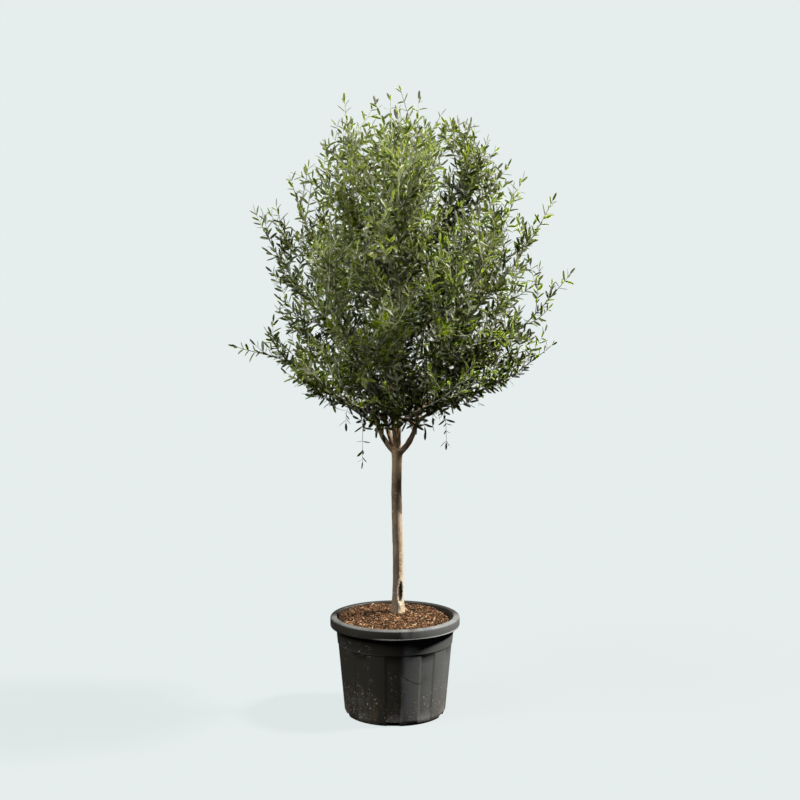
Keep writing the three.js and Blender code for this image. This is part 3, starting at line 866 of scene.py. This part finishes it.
def barkFinish(name, young=False):
    finish = Finish(name, (0.26, 0.18, 0.11), 0.85)
    x, y, z = splitPlace(finish)
    cloud = finish.grain(26, 4, 0.6, finish.place((1, 1, 0.35)))
    fine = finish.grain(210, 4, 0.65, finish.place((1, 1, 0.3)))
    fleck = finish.grain(130, 2, 0.6)
    ground = finish.between(cloud, 0.36, 0.64)
    colour = finish.blend(ground, barkTones["dark"], barkTones["light"])
    if young:
        layers = [(0.75, "young")]
    else:
        # Painted sunlight where the strip runs.
        lit = stripMask(finish, x, z, cloud)
        layers = [
            (lit * 0.6, "sunlit"),
            # painted shade on the side away from the sun, deepest towards the foot
            ((1 - lit) * (0.88 - finish.between(z, 0.38, 0.8) * 0.25), "shaded"),
            (finish.between(z, 0.88, 1.04) * 0.88, "upper"),
        ]
    layers.append((finish.between(fine, 0.52, 0.7) * 0.7, "crack"))
    layers.append((finish.between(fleck, 0.66, 0.74) * 0.8, "fleck"))
    if not young:
        size = (1 / 0.03, 2 / scar["width"], 2 / scar["length"])
        spot = finish.place(size, tuple(scarMiddle()), math.radians(scar["bearing"]))
        spread = finish.node("ShaderNodeVectorMath", {"operation": "LENGTH"}, {0: spot}, output=1)
        pale = finish.between(spread, 0.8, 1.05) * (1 - finish.between(spread, 1.2, 1.6))
        layers.append((pale * finish.between(fine, 0.3, 0.5) * 0.8, "scarLip"))
        layers.append((1 - finish.between(spread + fine * 0.5, 1.0, 1.3), "scarHollow"))
    for share, tone in layers:
        colour = finish.blend(share, colour, barkTones[tone])
    finish.set("Base Color", colour)
    finish.relief(fine + cloud * 0.5, 0.0012, 0.8)
    return finish.material


barkNodes = ["trunk", *(f"bough_{name}" for name in masses)]
addPiece("bark", barkMesh(), [barkFinish("bark")], barkNodes)

# ---- twigs

stem = {
    "tipRadius": 0.0019,
    "taper": 0.5,
    "upturn": 0.2,
    "ownUpturn": {"low_left": -0.25},
    "pull": 0.32,
    "straightening": 0.6,
    "leader": 0.1395,
}
shoot = {
    "spacing": 0.054,
    "length": 0.340,
    "tipShare": 0.4,
    "footRadius": 0.00216,
    "tipRadius": 0.00126,
    "lean": (36, 62),
    "lift": 0.3,
    "cuts": (1, 0.8, 0.64, 0.5, 0.38),
    "turns": (0, 2.1, -2.1),
    "checkShares": (0.35, 0.7, 1),
}
twig = {
    "spacing": 0.029,
    "outerSpread": 1.65,  # how much wider apart twigs stand out at the crown's side
    "outerRange": (0.2, 0.45),
    "topSpread": 4.0,  # and at its top
    "topRange": (2.13, 2.3),
    "boughSpacing": 0.014,
    "length": (0.075, 0.17),
    "footRadius": 0.0015,
    "tipRadius": 0.0008,
    "lean": (28, 50),
    "lift": 0.22,
    "cuts": (1, 0.75, 0.55),
    "edge": (0.80, 1.04),  # how near the crown's outline its end may come
    "outerReach": 0.05,  # how far it goes out from a stem that is over the outline
    "lowest": 1.02,
    "topGap": 0.15,
    "bareBough": 0.5,
    "bareMain": {"top_left": 0.36, "high_right": 0.4},
}
# Where a mass's twigs stand wider apart or closer, and how far its edge is moved out or in.
growth = {
    "top_left": (0.8, 1.25),
    "top_right": (0.7, 1.0),
    "high_front": (0.8, 1.0),
    "high_left": (2.0, 0.86),
    "mid_left": (1.25, 1.06),
    "mid_back_left": (1.3, 1.12),
    "mid_front_left": (1.15, 0.95),
    "mid_back_right": (1.05, 1.0),
    "high_right": (1.3, 1.0),
    "mid_front_right": (1.15, 1.2),
    "mid_right": (1.15, 0.96),
    "low_left": (0.85, 1.05),
    "low_front_left": (1.6, 0.82),
    "low_back_left": (1.3, 0.9),
    "low_back_right": (1.25, 1.0),
    "low_front_right": (1.0, 0.92),
}
# Where on its mass's stem each hanging shoot starts, its bearing, how far it swings out, and how
# far it falls.
hangingShoots = {"low_left": (0.04, 258, 0.026, 0.172), "low_right": (0.12, 0, 0.022, 0.136)}
hangingLeaves = {"spacing": 0.017, "size": 0.95, "leans": (45, 85), "turn": 1.1}
# Short hanging shoots under each of the low masses.
fringe = {"count": 2, "along": (0.05, 0.5), "out": (0.02, 0.06), "fall": (0.03, 0.07), "seed": 1300}


def outwardness(point):
    return math.hypot(point.x - crown["middle"], point.y)


def crownRadius(height):
    side = crown["top"] if height > crown["widest"] else crown["bottom"]
    share = (height - crown["widest"]) / (side[0] - crown["widest"])
    return crown["halfWidth"] * (1 - share ** side[1]) ** side[2] if share < 1 else 0


# A mass's space is the cone of directions from the heart that lie nearest to its own axis.
def inSpace(mass, point):
    fromHeart = point - crown["heart"]
    others = (other for other in masses.values() if other is not mass)
    partings = (mass["axis"] - other["axis"] for other in others)
    return all(fromHeart.dot(apart) >= crown["seam"] * apart.length for apart in partings)


def boughBeads():
    shares = [i / (bough["beads"] - 1) for i in range(bough["beads"])]
    tubes = [mass["bough"] for mass in masses.values()]
    centres = np.array([limb.pointOn(share) for limb in tubes for share in shares])
    radii = np.array([limb.radiusOn(share) + bough["clear"] for limb in tubes for share in shares])
    return centres, radii


beadCentres, beadRadii = boughBeads()


def touchesBough(point):
    return bool((np.linalg.norm(beadCentres - np.array(point), axis=1) < beadRadii).any())


def stemOf(mass):
    limb = mass["bough"]
    tangent = limb.tangentOn(1)
    heading = tangent.lerp(mass["axis"], stem["straightening"]).normalized()
    start = limb.pointOn(1) + tangent * 0.0003
    span = (mass["tip"] - start).length
    upturn = stem["ownUpturn"].get(mass["name"], stem["upturn"])
    ending = ((mass["tip"] - start).normalized() + up * upturn).normalized()
    end = mass["tip"] - ending * stem["leader"]
    pull = span * stem["pull"]
    controls = [start, start + heading * pull, end - ending * pull, end]
    return Limb(controls, bough["tipRadius"], stem["tipRadius"], 16, stem["taper"])


def risingLimb(start, direction, length, lift, radii, steps):
    end = start + direction * length + up * length * lift
    return Limb([start, start + direction * (length / 2), end], *radii, steps)


# Shoots stand round the stem by the golden angle, long at its foot and short at its tip.
def shootsOf(mass, massStem):
    count = int(massStem.length / shoot["spacing"])
    made = []
    for i in range(count):
        draw = seededDraw(mass["seed"] + i)
        share = (i + 0.5) / count
        tangent = massStem.tangentOn(share)
        lean = draw(*shoot["lean"])
        around = i * goldenAngle + draw(-0.4, 0.4)
        length = shoot["length"] * mix(1, shoot["tipShare"], share) * draw(0.75, 1.15)
        edge = draw(0.86, 1)
        start = massStem.pointOn(share)
        limb = firstFit(mass, start, tangent, lean, around, length, edge)
        if limb:
            made.append((limb, mass["seed"] + i))
    return made


# The longest of a shoot's lengths that fits, turned aside where it has to be.
def firstFit(mass, start, tangent, lean, around, length, edge):
    for cut in shoot["cuts"]:
        for turn in shoot["turns"]:
            direction = leaningFrom(tangent, lean, around + turn)
            radii = (shoot["footRadius"], shoot["tipRadius"])
            limb = risingLimb(start, direction, length * cut, shoot["lift"], radii, 6)
            points = [limb.pointOn(share) for share in shoot["checkShares"]]
            if all(isFree(mass, point, edge) for point in points):
                return limb
    return None


def isFree(mass, point, edge):
    return insideCrown(point, edge) and inSpace(mass, point) and not touchesBough(point)


def insideCrown(point, edge):
    return outwardness(point) < crownRadius(point.z) * edge


# Finer twigs stand on every shoot, in the same way as shoots stand on a stem.
def twigsOf(mass, limb, seed, firstShare, spacing):
    apart, stretch = growth.get(mass["name"], (1, 1))
    middle = limb.pointOn(0.6)
    spacing *= apart * mix(1, twig["topSpread"], smoothStep(middle.z, *twig["topRange"]))
    outer = smoothStep(outwardness(middle), *twig["outerRange"])
    spacing *= mix(1, twig["outerSpread"], outer)
    count = max(1, round(limb.length * (1 - firstShare) / spacing))
    draw = seededDraw(seed * 13 + 7)
    made = []
    for i in range(count):
        share = mix(firstShare, 1, (i + draw(0.2, 0.8)) / count)
        lean = draw(*twig["lean"])
        around = i * goldenAngle + draw(-0.5, 0.5)
        direction = leaningFrom(limb.tangentOn(share), lean, around)
        length = draw(*twig["length"]) * mix(1.1, 0.6, share)
        edge = draw(*twig["edge"]) * stretch
        start = limb.pointOn(share)
        outer = outwardness(start)
        isOver = outer > crownRadius(start.z)
        for cut in twig["cuts"]:
            radii = (twig["footRadius"], twig["tipRadius"])
            candidate = risingLimb(start, direction, length * cut, twig["lift"], radii, 4)
            end = candidate.pointOn(1)
            if not twig["lowest"] < end.z < crown["top"][0] - twig["topGap"] or touchesBough(end):
                continue
            isNear = isOver and abs(outwardness(end) - outer) < twig["outerReach"]
            if insideCrown(end, edge) or isNear:
                made.append((candidate, seed * 31 + i))
                break
    return made


# ---- leaves

leaf = {
    "length": 0.040,
    "width": 0.0108,
    # places along it, and shares of its width there
    "stations": [(0.0, 0.0), (0.18, 0.74), (0.5, 1.0), (0.82, 0.76), (1.0, 0.0)],
    "fold": 0.0011,  # how far the edges stand over the midrib
    "thickness": 0.0005,
    "lean": (44, 70),
    "spacing": 0.020,
    "missing": 0.05,  # share of the leaves that a twig has lost
    "topSpread": 1.5,  # how much wider apart leaves stand at the crown's top
    "topRange": (2.15, 2.32),
    "overhang": 0.048,  # how far over the crown's outline a leaf's tip may stand
}
# Four lit and shaded copies of one green, from painted shade to painted sunlight, and a grey that
# is dealt out at random.
leafTones = {
    "leafShade": (0.011, 0.015, 0.001),
    "leafHalfLit": (0.029, 0.037, 0.003),
    "leafLit": (0.060, 0.073, 0.009),
    "leafSunlit": (0.105, 0.122, 0.022),
    "leafGrey": (0.072, 0.078, 0.042),
}
underTones = {"leafSilver": (0.100, 0.105, 0.070), "leafSage": (0.055, 0.061, 0.030)}
leafSkin = {
    "Specular IOR Level": 0.2,
    "Subsurface Weight": 0.35,
    "Subsurface Radius": (0.7, 1.0, 0.2),
    "Subsurface Scale": 0.003,
}
# How much painted light a spray's tone takes from its height, its place out from the heart, and its
# place in X.
spray = {
    "height": 0.62,
    "heightRange": (1.15, 1.9),
    "outer": 0.45,
    "side": 0.85,
    "sideRange": (-0.35, 0.4),
    # taken off every spray's light: painted shade
    "shaded": 0.32,
    "vary": 0.38,
    "steps": (0.3, 0.62, 0.95),
    "greyShare": 0.18,
    "silverShare": 0.6,
    "tipGap": 0.06,
}


# A pointed leaf: a folded upper face and an under face that share their edge.
def leafShape():
    bm = bmesh.new()
    bmesh.ops.create_grid(bm, x_segments=4, y_segments=2, size=0.5)
    for vertex in bm.verts:
        place, width = leaf["stations"][round((vertex.co.x + 0.5) * 4)]
        across = vertex.co.y * width
        vertex.co = Vector((place, across, abs(across) * 2))
    under = bmesh.ops.duplicate(bm, geom=bm.faces[:])
    underFaces = [item for item in under["geom"] if isinstance(item, bmesh.types.BMFace)]
    bmesh.ops.reverse_faces(bm, faces=underFaces)
    for face in underFaces:
        face.material_index = 1
        for vertex in face.verts:
            if abs(vertex.co.y) < 0.001 and 0.1 < vertex.co.x < 0.9:
                vertex.co.z = -leaf["thickness"] / leaf["fold"]
    bmesh.ops.remove_doubles(bm, verts=bm.verts, dist=1e-4)
    bmesh.ops.dissolve_degenerate(bm, edges=bm.edges, dist=1e-4)
    return bm


class Leafage:
    def __init__(self):
        self.rows = []  # foot, along, across, face, size, bend, tones, leader

    def add(self, limb, share, lean, around, size, twist, bend, tones):
        foot = limb.pointOn(share)
        tangent = limb.tangentOn(share)
        along = leaningFrom(tangent, lean, around)
        across = tangent.cross(along).normalized()
        across.rotate(Matrix.Rotation(twist, 3, along))
        self.rows.append((*foot, *along, *across, *along.cross(across), size, bend, *tones))

    # Opposite pairs, each turned from the last, and one leaf that closes the tip.
    def growOn(
        self, limb, firstShare, seed,
        spacing=leaf["spacing"], size=1.0, leans=leaf["lean"], turn=math.pi / 2,
    ):
        draw = seededDraw(seed * 17 + 500)
        tones = sprayTones(limb, draw)
        high = smoothStep(limb.pointOn(0.5).z, *leaf["topRange"])
        spacing *= mix(1, leaf["topSpread"], high)
        pairs = max(2, round(limb.length * (1 - firstShare) / spacing))
        first = draw(0, math.pi)
        for pair in range(pairs):
            share = mix(firstShare, 0.99, (pair + draw(0.35, 0.65)) / pairs)
            young = smoothStep(share, 0.7, 1)
            for half in (0, 1):
                if draw(0, 1) < leaf["missing"]:
                    continue
                lean = draw(*leans) * mix(1, 0.6, young)
                around = first + pair * turn + half * math.pi + draw(-0.6, 0.6)
                length = size * draw(0.78, 1.18) * mix(1, 0.8, young)
                spot = min(share + draw(-0.25, 0.25) / pairs, 0.99)
                twist, bend = draw(-0.8, 0.8), draw(-0.15, 0.25)
                self.add(limb, spot, lean, around, length, twist, bend, tones)
        lean, around = draw(2, 14), draw(0, 6)
        length, twist = size * draw(0.75, 0.95), draw(-0.5, 0.5)
        self.add(limb, 0.995, lean, around, length, twist, 0.0, tones)

    def mesh(self, name, shape):
        corners, triangles, faceSlots = shape
        rows = np.array(self.rows)
        tips = rows[:, 0:3] + rows[:, 3:6] * (leaf["length"] * rows[:, 12])[:, None]
        edge = np.array([crownRadius(z) for z in tips[:, 2]]) + leaf["overhang"]
        outward = np.hypot(tips[:, 0] - crown["middle"], tips[:, 1])
        leader = rows[:, 15] > 0
        keep = ((outward < edge) | leader) & (tips[:, 2] < crown["top"][0])
        rows = rows[keep]
        size = rows[:, 12][:, None]
        bend = rows[:, 13][:, None]
        x = corners[None, :, 0] * leaf["length"] * size
        y = corners[None, :, 1] * leaf["width"] * size
        bow = bend * corners[None, :, 0] ** 2 * leaf["length"] * size
        z = corners[None, :, 2] * leaf["fold"] * size - bow
        points = rows[:, None, 0:3] + x[..., None] * rows[:, None, 3:6]
        points += y[..., None] * rows[:, None, 6:9] + z[..., None] * rows[:, None, 9:12]
        topSlots = rows[:, 14].astype(int) // 10
        underSlots = len(leafTones) + rows[:, 14].astype(int) % 10
        slots = np.where(faceSlots[None, :] == 0, topSlots[:, None], underSlots[:, None])
        return joinedCopies(name, points, triangles, slots)


# A spray's leaves share a tone. Sprays that stand higher, further out or nearer to -X take brighter
# tones, as painted light; those low, deep in or towards +X take darker ones, as painted shade.
def sprayTones(limb, draw):
    end = limb.pointOn(1)
    height = smoothStep(end.z, *spray["heightRange"])
    outer = outwardness(end) / (crownRadius(end.z) + 0.05)
    side = smoothStep(-end.x, *spray["sideRange"])
    light = spray["height"] * height + spray["outer"] * min(outer, 1) + spray["side"] * side
    light = light - spray["shaded"] + draw(-spray["vary"], spray["vary"])
    tone = sum(light > step for step in spray["steps"])
    if draw(0, 1) < spray["greyShare"]:
        tone = list(leafTones).index("leafGrey")
    under = 0 if draw(0, 1) < spray["silverShare"] else 1
    leader = 1 if end.z > crown["top"][0] - spray["tipGap"] or outer > 1 else 0
    return tone * 10 + under, leader


def hangingLimb(massStem, at, bearing, out, fall):
    start = massStem.pointOn(at)
    controls = [start, start + onBearing(bearing, out, 0), start + onBearing(bearing, out, -fall)]
    return Limb(controls, 0.0013, 0.0007, 8)


# Runs on from a stem's end to just short of the tip of its mass.
def leaderOf(mass, massStem):
    foot = massStem.pointOn(1)
    tip = mass["tip"] - massStem.tangentOn(1) * 0.03
    middle = (foot + tip) / 2 - up * 0.004
    return Limb([foot, middle, tip], 0.0021, 0.0009, 6)


def hangingOn(name, mass, massStem):
    made = [hangingLimb(massStem, *hangingShoots[name])] if name in hangingShoots else []
    if name.startswith("low"):
        draw = seededDraw(mass["seed"] + fringe["seed"])
        for _ in range(fringe["count"]):
            at, bearing = draw(*fringe["along"]), draw(0, 360)
            out, fall = draw(*fringe["out"]), draw(*fringe["fall"])
            made.append(hangingLimb(massStem, at, bearing, out, fall))
    return made


def growCrown():
    groups = {}
    stems = []
    twigs = []
    for name, mass in masses.items():
        leafage = groups.setdefault(name.split("_")[0], Leafage())
        massStem = stemOf(mass)
        stems.append(massStem)
        carried = [(leaderOf(mass, massStem), mass["seed"] + 700, 0.05)]
        fineTwigs = twigsOf(mass, massStem, mass["seed"] + 600, 0.05, twig["spacing"])
        for limb, seed in shootsOf(mass, massStem):
            carried.append((limb, seed, 0.2))
            fineTwigs += twigsOf(mass, limb, seed, 0.12, twig["spacing"])
        bare = twig["bareMain"].get(name, twig["bareBough"])
        fineTwigs += twigsOf(mass, mass["bough"], mass["seed"] + 650, bare, twig["boughSpacing"])
        carried += [(limb, seed, 0.1) for limb, seed in fineTwigs]
        leafage.growOn(massStem, 0.3, mass["seed"] + 400)
        for limb, seed, bare in carried:
            twigs.append(limb)
            leafage.growOn(limb, bare, seed)
        for i, limb in enumerate(hangingOn(name, mass, massStem)):
            twigs.append(limb)
            leafage.growOn(limb, 0.12, mass["seed"] + 300 + i, **hangingLeaves)
    return groups, stems, twigs


def twigFinish():
    finish = Finish("twigBark", (0.3, 0.3, 0.21), 0.7)
    cloud = finish.grain(40, 3, 0.6)
    darker, lighter = (0.30, 0.30, 0.19), (0.50, 0.51, 0.38)
    finish.set("Base Color", finish.blend(finish.between(cloud, 0.4, 0.6), darker, lighter))
    finish.relief(finish.grain(400, 2, 0.6), 0.0003, 0.5)
    return finish.material


def leafFinishes():
    tops = [Finish(name, tone, 0.42, **leafSkin).material for name, tone in leafTones.items()]
    unders = [Finish(name, tone, 0.7, **leafSkin).material for name, tone in underTones.items()]
    return tops + unders


def dressCrown():
    groups, stems, twigs = growCrown()
    finishes = leafFinishes()
    shape = shapeArrays(leafShape())
    for group, leafage in groups.items():
        nodes = [f"foliage_{name}" for name in masses if name.startswith(group)]
        print(group, len(leafage.rows), "leaves")
        mesh = leafage.mesh(group, shape)
        addPiece(f"leaves_{group}", mesh, finishes, nodes, smooth=False)
    addPiece("stems", tubesAlong(stems, "stems", 8), [barkFinish("stemBark", young=True)])
    addPiece("twigs", tubesAlong(twigs, "twigs", 4), [twigFinish()])


dressCrown()

# ---- floor and light

studio = {
    "pale": (0.79, 0.847, 0.847),
    "floor": (0.020, 0.0215, 0.022),
    "floorGlow": 0.893,
    "floorRadius": 60,
    "fill": (0.015, 0.015, 0.015),
    "suns": {
        "key": {"power": 12, "colour": (1.0, 0.965, 0.9), "bearing": 2, "height": 48, "size": 8},
        "soft": {
            "power": 6.2, "colour": (0.97, 1.0, 1.0), "bearing": -148, "height": 50, "size": 40,
        },
    },
}


def makeFloor():
    bm = bmesh.new()
    bmesh.ops.create_circle(bm, cap_ends=True, radius=studio["floorRadius"], segments=64)
    mesh = meshFrom(bm, "floor")
    floor = bpy.data.objects.new("floor", mesh)
    glow = {
        "Emission Color": (*studio["pale"], 1),
        "Emission Strength": studio["floorGlow"],
        "Specular IOR Level": 0,
    }
    mesh.materials.append(Finish("studioFloor", studio["floor"], 0.9, **glow).material)
    scene.collection.objects.link(floor)
    # the floor throws no light up under the crown or on the pot
    floor.visible_diffuse = False
    floor.visible_glossy = False


# The camera sees the pale backdrop, and everything else is lit by the dark fill.
def makeWorld():
    world = bpy.data.worlds.new("studio")
    scene.world = world
    world.use_nodes = True
    nodes = world.node_tree.nodes
    links = world.node_tree.links
    backdrop = nodes["Background"]
    backdrop.inputs["Color"].default_value = (*studio["pale"], 1)
    fill = nodes.new("ShaderNodeBackground")
    fill.inputs["Color"].default_value = (*studio["fill"], 1)
    share = nodes.new("ShaderNodeMixShader")
    links.new(nodes.new("ShaderNodeLightPath").outputs["Is Camera Ray"], share.inputs[0])
    links.new(fill.outputs[0], share.inputs[1])
    links.new(backdrop.outputs[0], share.inputs[2])
    links.new(share.outputs[0], nodes["World Output"].inputs["Surface"])


def makeSuns():
    for name, sun in studio["suns"].items():
        lamp = bpy.data.objects.new(name, bpy.data.lights.new(name, "SUN"))
        lamp.data.energy = sun["power"]
        lamp.data.color = sun["colour"]
        lamp.data.angle = math.radians(sun["size"])
        direction = onBearing(sun["bearing"], 1, math.tan(math.radians(sun["height"])))
        lamp.rotation_euler = direction.to_track_quat("Z", "Y").to_euler()
        scene.collection.objects.link(lamp)


makeFloor()
makeWorld()
makeSuns()
scene.view_settings.view_transform = "Standard"

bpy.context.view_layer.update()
